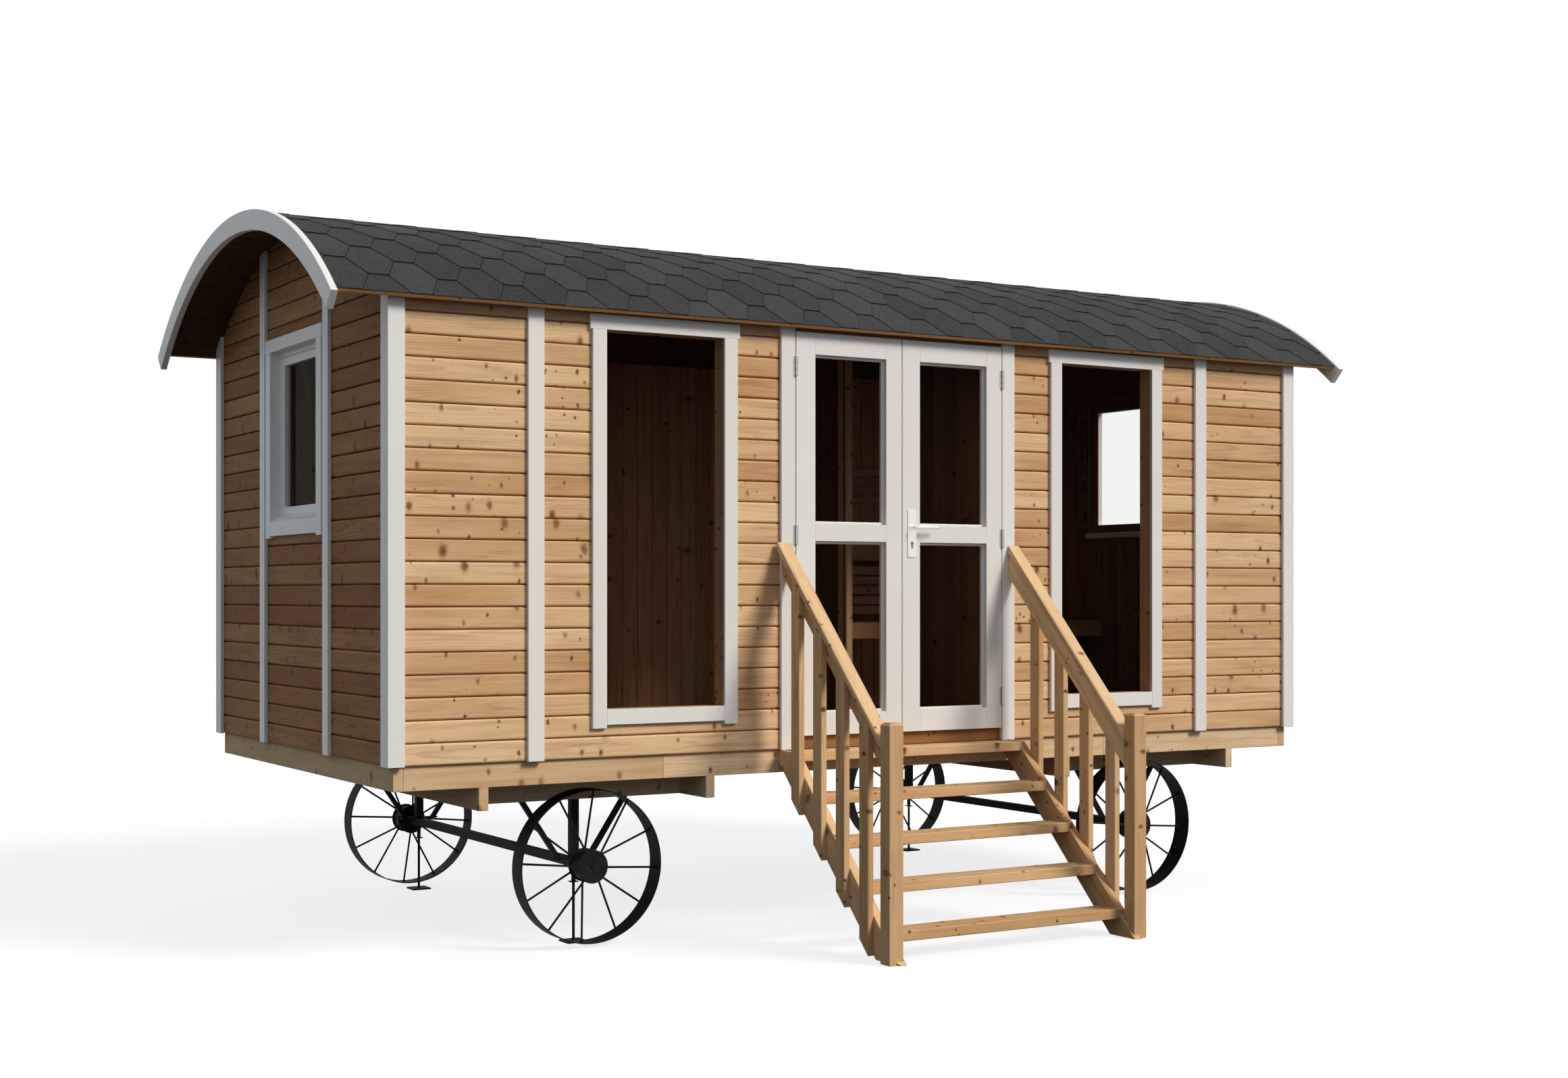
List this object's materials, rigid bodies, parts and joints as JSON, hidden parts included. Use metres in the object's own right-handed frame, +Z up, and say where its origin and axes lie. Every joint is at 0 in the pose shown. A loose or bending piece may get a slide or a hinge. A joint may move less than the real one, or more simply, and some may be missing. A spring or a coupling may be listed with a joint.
{
  "type": "mobile sauna",
  "caption": "Timber sauna cabin under an arched shingle roof, on spoked iron wheels and screw jacks, with glazed double doors and wooden steps with handrails.",
  "frame": {"origin": "on the ground, under the middle of the object's outline", "axes": "+X along the cabin to the right as seen from the doors, -Y towards the doors and steps, +Z up"},
  "size_m": [5.74, 3.6352, 3.3395],
  "materials": {
    "cladding": "oiled boards",
    "white_paint": "satin paint",
    "base_timber": "planed, oiled",
    "dark_timber": "dark stain",
    "interior_timber": "bare boards",
    "shingles": "mineral felt",
    "glass": "clear",
    "steel": "satin",
    "black_iron": "matt black"
  },
  "bodies": {
    "cabin": {"base_frame": "base_timber", "cross_bearers": "base_timber", "long_rails": "base_timber", "floor": "interior_timber", "front_wall_left": "cladding", "front_wall_right": "cladding", "door_header": "dark_timber", "back_wall": "cladding", "end_wall_left": "cladding", "end_wall_right": "cladding", "corner_boards": "white_paint", "wall_battens": "white_paint", "roof_deck": "dark_timber", "shingle_skin": "shingles", "bargeboards": "white_paint", "front_window_casings": "white_paint", "front_window_glass": "glass", "end_window_frames": "white_paint", "end_window_sashes": "white_paint", "end_window_glass": "glass", "door_casings": "white_paint", "door_stops": "dark_timber", "door_sill": "dark_timber", "frame_hinges": "steel", "axle_left": "black_iron", "axle_right": "black_iron", "screw_jacks": "black_iron", "stair_stringers": "base_timber", "stair_treads": "base_timber", "stair_newels": "base_timber", "stair_balusters": "base_timber", "stair_handrails": "base_timber", "partition": "interior_timber", "partition_posts": "interior_timber", "benches": "interior_timber", "bench_slats": "interior_timber"},
    "door_left": {"door_leaf_left": "white_paint", "door_glass_left": "glass", "left_leaf_hinges": "steel"},
    "door_right": {"door_leaf_right": "white_paint", "door_glass_right": "glass", "right_leaf_hinges": "steel", "handle_plates": "steel"},
    "door_lever": {"lever_handle": "steel"},
    "wheel_front_left": {"wheel_front_left": "black_iron"},
    "wheel_front_right": {"wheel_front_right": "black_iron"},
    "wheel_back_left": {"wheel_back_left": "black_iron"},
    "wheel_back_right": {"wheel_back_right": "black_iron"}
  },
  "joints": [
    {"name": "door_left_hinge", "type": "hinge", "parent": "cabin", "child": "door_left", "pos_m": [-0.6005, -0.8624, 1.857], "axis": [0, 0, -1], "range_deg": [0, 90]},
    {"name": "door_right_hinge", "type": "hinge", "parent": "cabin", "child": "door_right", "pos_m": [0.6005, -0.8624, 1.857], "axis": [0, 0, 1], "range_deg": [0, 90]},
    {"name": "door_lever_turn", "type": "hinge", "parent": "door_right", "child": "door_lever", "pos_m": [0.0555, -0.8554, 1.904], "axis": [0, 1, 0], "range_deg": [0, 45], "stiffness_Nm_per_rad": 2, "springref_deg": -22.92},
    {"name": "wheel_front_left_spin", "type": "hinge", "parent": "cabin", "child": "wheel_front_left", "pos_m": [-1.593, -0.6869, 0.363], "axis": [0, 1, 0], "continuous": true},
    {"name": "wheel_front_right_spin", "type": "hinge", "parent": "cabin", "child": "wheel_front_right", "pos_m": [1.593, -0.6869, 0.363], "axis": [0, 1, 0], "continuous": true},
    {"name": "wheel_back_left_spin", "type": "hinge", "parent": "cabin", "child": "wheel_back_left", "pos_m": [-1.593, 1.5521, 0.363], "axis": [0, 1, 0], "continuous": true},
    {"name": "wheel_back_right_spin", "type": "hinge", "parent": "cabin", "child": "wheel_back_right", "pos_m": [1.593, 1.5521, 0.363], "axis": [0, 1, 0], "continuous": true}
  ]
}
